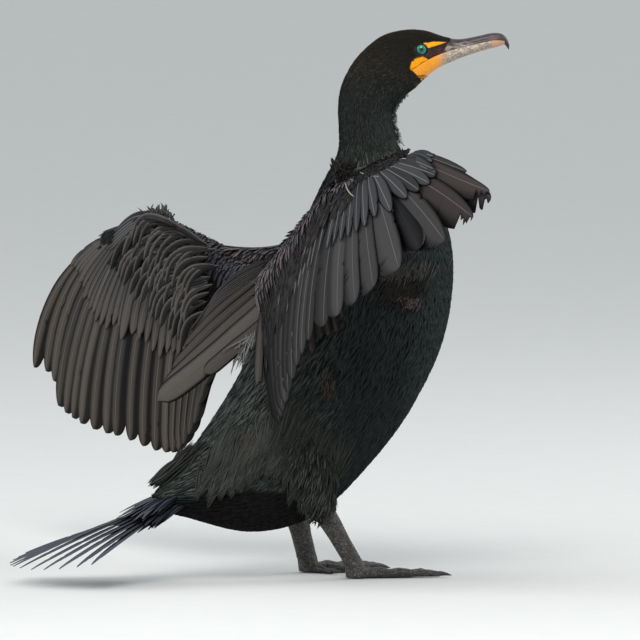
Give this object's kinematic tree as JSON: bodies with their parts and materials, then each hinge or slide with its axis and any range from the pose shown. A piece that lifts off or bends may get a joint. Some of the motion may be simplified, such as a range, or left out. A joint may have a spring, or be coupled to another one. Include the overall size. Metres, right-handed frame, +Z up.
{
  "type": "cormorant",
  "caption": "Life-size still model of a double-crested cormorant standing with both wings held open to dry and its head turned to one side.",
  "frame": {"origin": "middle of the bounding box's bottom face, on the floor between the feet and the tail", "axes": "+X the way the body faces, +Y the bird's left, +Z up"},
  "size_m": [0.5138, 1.0676, 0.5447],
  "materials": {
    "plumage": "soft black body feathers with a faint green gloss",
    "wing_feathers": "brownish grey feathers with dark edges and pale shafts",
    "tail_feathers": "stiff slate-black feathers with pale shafts",
    "bill_upper": "satin dark horn, mottled",
    "bill_lower": "satin horn and bare orange throat skin",
    "eye": "glossy, green iris with a dark pupil",
    "leg": "black scaly skin",
    "claw": "black horn, satin"
  },
  "bodies": {
    "root": {"rump": "plumage", "torso": "plumage", "neck_lower": "plumage", "neck_upper": "plumage", "head": "plumage", "bill_upper": "bill_upper", "bill_lower": "bill_lower", "eye_left": "eye", "eye_right": "eye", "arm_left": "wing_feathers", "arm_right": "wing_feathers", "forearm_left": "wing_feathers", "forearm_right": "wing_feathers", "hand_left": "wing_feathers", "hand_right": "wing_feathers", "tail": "tail_feathers", "thigh_left": "plumage", "thigh_right": "plumage", "leg_left": "leg", "leg_right": "leg", "foot_left": "leg", "foot_right": "leg", "claw_left_1": "claw", "claw_left_2": "claw", "claw_left_3": "claw", "claw_left_4": "claw", "claw_right_1": "claw", "claw_right_2": "claw", "claw_right_3": "claw", "claw_right_4": "claw"}
  },
  "joints": []
}
